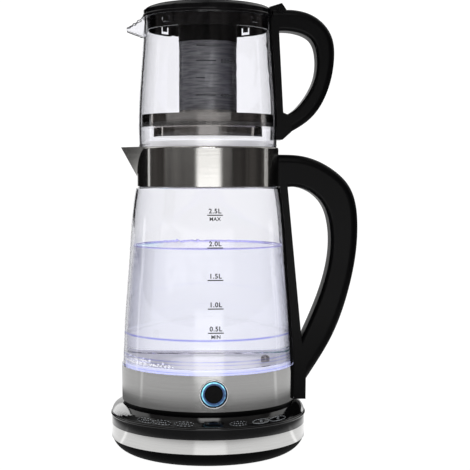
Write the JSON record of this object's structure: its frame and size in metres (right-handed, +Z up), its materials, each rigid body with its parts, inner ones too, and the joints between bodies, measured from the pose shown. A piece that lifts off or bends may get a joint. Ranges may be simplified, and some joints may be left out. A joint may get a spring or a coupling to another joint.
{
  "type": "automatic tea maker",
  "caption": "Electric glass kettle on a round touch power base, with a glass teapot and steel infuser stacked on its mouth.",
  "frame": {"origin": "middle of the floor contact, on the vertical axis of the base, the kettle and the teapot", "axes": "+Z up, +X towards the handles, -X towards the spouts, -Y towards the power button"},
  "size_m": [0.2439, 0.1918, 0.4582],
  "materials": {
    "gloss_black": "moulded, high gloss",
    "satin_black": "moulded, satin",
    "brushed_steel": "brushed round the body",
    "polished_steel": "drawn and polished",
    "bezel_chrome": "bright plated",
    "steel_mesh": "woven wire mesh",
    "clear_glass": "clear borosilicate",
    "blue_light_guide": "moulded light guide",
    "black_rubber": "moulded rubber",
    "silicone": "translucent silicone",
    "contact_brass": "turned",
    "circuit_board": "solder mask",
    "element_aluminium": "drawn tube"
  },
  "bodies": {
    "power_base": {"base_lower_shell": "gloss_black", "base_foot_ring": "black_rubber", "base_steel_band": "brushed_steel", "base_top_cover": "gloss_black", "base_connector_hub": "satin_black", "base_contact_rings": "contact_brass", "touch_key_pads": "silicone", "control_board": "circuit_board"},
    "kettle": {"kettle_base_housing": "satin_black", "kettle_connector": "satin_black", "kettle_skirt": "brushed_steel", "kettle_light_ring": "blue_light_guide", "heating_plate": "polished_steel", "lower_glass_seal": "silicone", "heating_element": "element_aluminium", "temperature_sensor": "polished_steel", "button_cup": "satin_black", "button_light_ring": "blue_light_guide", "button_bezel": "bezel_chrome", "button_switch": "satin_black", "kettle_glass": "clear_glass", "upper_glass_seal": "silicone", "steel_collar": "brushed_steel", "mouth_ring": "polished_steel", "kettle_handle_cover": "satin_black", "kettle_handle_grip": "satin_black", "kettle_handle_spine": "satin_black"},
    "button": {"power_button": "gloss_black"},
    "teapot": {"teapot_glass": "clear_glass", "steel_dish": "polished_steel", "dish_gasket": "silicone", "mouth_collar": "gloss_black", "lid_hinge_pin": "polished_steel", "teapot_handle_bracket": "satin_black", "teapot_handle_cover": "satin_black", "teapot_handle_grip": "satin_black", "teapot_handle_spine": "satin_black"},
    "lid": {"teapot_lid": "gloss_black", "lid_seal": "silicone", "knob_plate": "brushed_steel", "lid_knob": "gloss_black", "knob_screw": "polished_steel"},
    "infuser": {"infuser_rim": "satin_black", "infuser_mesh": "steel_mesh", "infuser_base": "polished_steel"}
  },
  "joints": [
    {"name": "kettle_lift", "type": "slide", "parent": "power_base", "child": "kettle", "axis": [0, 0, 1], "range_m": [0, 0.08]},
    {"name": "button_press", "type": "slide", "parent": "kettle", "child": "button", "axis": [0, 1, 0], "range_m": [0, 0.0012], "stiffness_N_per_m": 400},
    {"name": "teapot_lift", "type": "slide", "parent": "kettle", "child": "teapot", "axis": [0, 0, 1], "range_m": [0, 0.06]},
    {"name": "lid_hinge", "type": "hinge", "parent": "teapot", "child": "lid", "pos_m": [0.0707, 0, 0.4329], "axis": [0, 1, 0], "range_deg": [0, 72]},
    {"name": "infuser_turn", "type": "hinge", "parent": "teapot", "child": "infuser", "pos_m": [0, 0, 0.4], "axis": [0, 0, 1], "continuous": true}
  ]
}
